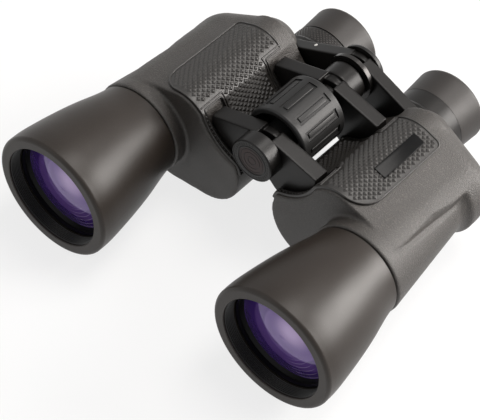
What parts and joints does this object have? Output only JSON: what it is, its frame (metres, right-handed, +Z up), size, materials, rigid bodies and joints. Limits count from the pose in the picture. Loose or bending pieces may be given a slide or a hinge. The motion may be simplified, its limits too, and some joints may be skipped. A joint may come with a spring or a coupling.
{
  "type": "binoculars",
  "caption": "Porro-prism binoculars with wide flared barrels, prism housings on a folding centre hinge, grip panels, focus wheel and an eyepiece bridge.",
  "frame": {"origin": "middle of the underside of the bounding box, on the surface that the objective rims rest on", "axes": "+X to the user's left, +Y from the objectives to the eyepieces along the hinge axis, +Z up"},
  "size_m": [0.1984, 0.179, 0.0711],
  "materials": {
    "housing_coat": "fine crackle paint, satin",
    "barrel_coat": "satin black paint",
    "black_anodised": "black anodised",
    "shelf_metal": "plain",
    "prism_glass": "polished",
    "coated_glass": "violet coated",
    "ocular_glass": "coated",
    "grip_rubber": "knurled, matt",
    "arm_coat": "satin black",
    "ocular_coat": "satin black",
    "eyecup_rubber": "matt",
    "axle_steel": "turned",
    "spindle_steel": "polished",
    "wheel_rubber": "satin with matt pads",
    "cap_plastic": "satin",
    "inlay_plastic": "satin"
  },
  "bodies": {
    "left_half": {"left_housing": "housing_coat", "left_rear_cover": "housing_coat", "left_prism_shelf": "shelf_metal", "left_front_prism": "prism_glass", "left_rear_prism": "prism_glass", "left_grip_panel": "grip_rubber", "left_objective_barrel": "barrel_coat", "left_lens_retainer": "black_anodised", "left_lens_cell": "black_anodised", "left_objective_lens": "coated_glass", "left_front_arm": "arm_coat", "left_rear_arm": "arm_coat", "hinge_axle": "axle_steel", "axle_nut": "axle_steel", "tripod_bush": "axle_steel"},
    "right_half": {"right_housing": "housing_coat", "right_rear_cover": "housing_coat", "right_prism_shelf": "shelf_metal", "right_front_prism": "prism_glass", "right_rear_prism": "prism_glass", "right_grip_panel": "grip_rubber", "right_objective_barrel": "barrel_coat", "right_lens_retainer": "black_anodised", "right_lens_cell": "black_anodised", "right_objective_lens": "coated_glass", "right_front_arm": "arm_coat", "right_rear_arm": "arm_coat"},
    "focus_wheel": {"focus_wheel": "wheel_rubber"},
    "left_ocular": {"left_bridge_arm": "arm_coat", "left_ocular_tube": "ocular_coat", "left_eyecup": "eyecup_rubber", "left_eye_lens": "ocular_glass", "left_field_lens": "ocular_glass", "left_field_lens_cell": "black_anodised", "focus_spindle": "spindle_steel", "spindle_flange": "spindle_steel", "bridge_cap": "cap_plastic"},
    "right_ocular": {"right_bridge_arm": "arm_coat", "right_ocular_tube": "ocular_coat", "right_eyecup": "eyecup_rubber", "right_eye_lens": "ocular_glass"},
    "dioptre_ring": {"dioptre_ring": "ocular_coat"},
    "right_field_group": {"right_field_lens": "ocular_glass", "right_field_lens_cell": "black_anodised"},
    "tripod_cap": {"tripod_cap": "cap_plastic", "tripod_cap_inlay": "inlay_plastic"}
  },
  "joints": [
    {"name": "hinge_bend", "type": "hinge", "parent": "left_half", "child": "right_half", "pos_m": [0, 0, 0.05385], "axis": [0, 1, 0], "range_deg": [-18.9, 15.2]},
    {"name": "focus_wheel_turn", "type": "hinge", "parent": "left_half", "child": "focus_wheel", "pos_m": [0, 0.0079, 0.05385], "axis": [0, 1, 0], "range_deg": [-45.5, 270.5]},
    {"name": "left_ocular_slide", "type": "slide", "parent": "left_half", "child": "left_ocular", "axis": [0, 1, 0], "range_m": [-0.001, 0.006]},
    {"name": "right_ocular_slide", "type": "slide", "parent": "right_half", "child": "right_ocular", "axis": [0, 1, 0], "range_m": [-0.00102, 0.00602]},
    {"name": "dioptre_turn", "type": "hinge", "parent": "right_ocular", "child": "dioptre_ring", "pos_m": [-0.0328, 0.0668, 0.02745], "axis": [0, 1, 0], "range_deg": [-60.5, 60.5]},
    {"name": "field_group_slide", "type": "slide", "parent": "right_ocular", "child": "right_field_group", "axis": [0, 1, 0], "range_m": [-0.0015, 0.0015]},
    {"name": "tripod_cap_off", "type": "slide", "parent": "left_half", "child": "tripod_cap", "axis": [0, -1, 0], "range_m": [0, 0.04]}
  ],
  "couplings": [
    {"joint": "focus_wheel_turn", "follows": "left_ocular_slide", "rad_per_m": 785.4},
    {"joint": "right_ocular_slide", "follows": "left_ocular_slide", "ratio": 1},
    {"joint": "dioptre_turn", "follows": "field_group_slide", "rad_per_m": 698.13}
  ]
}
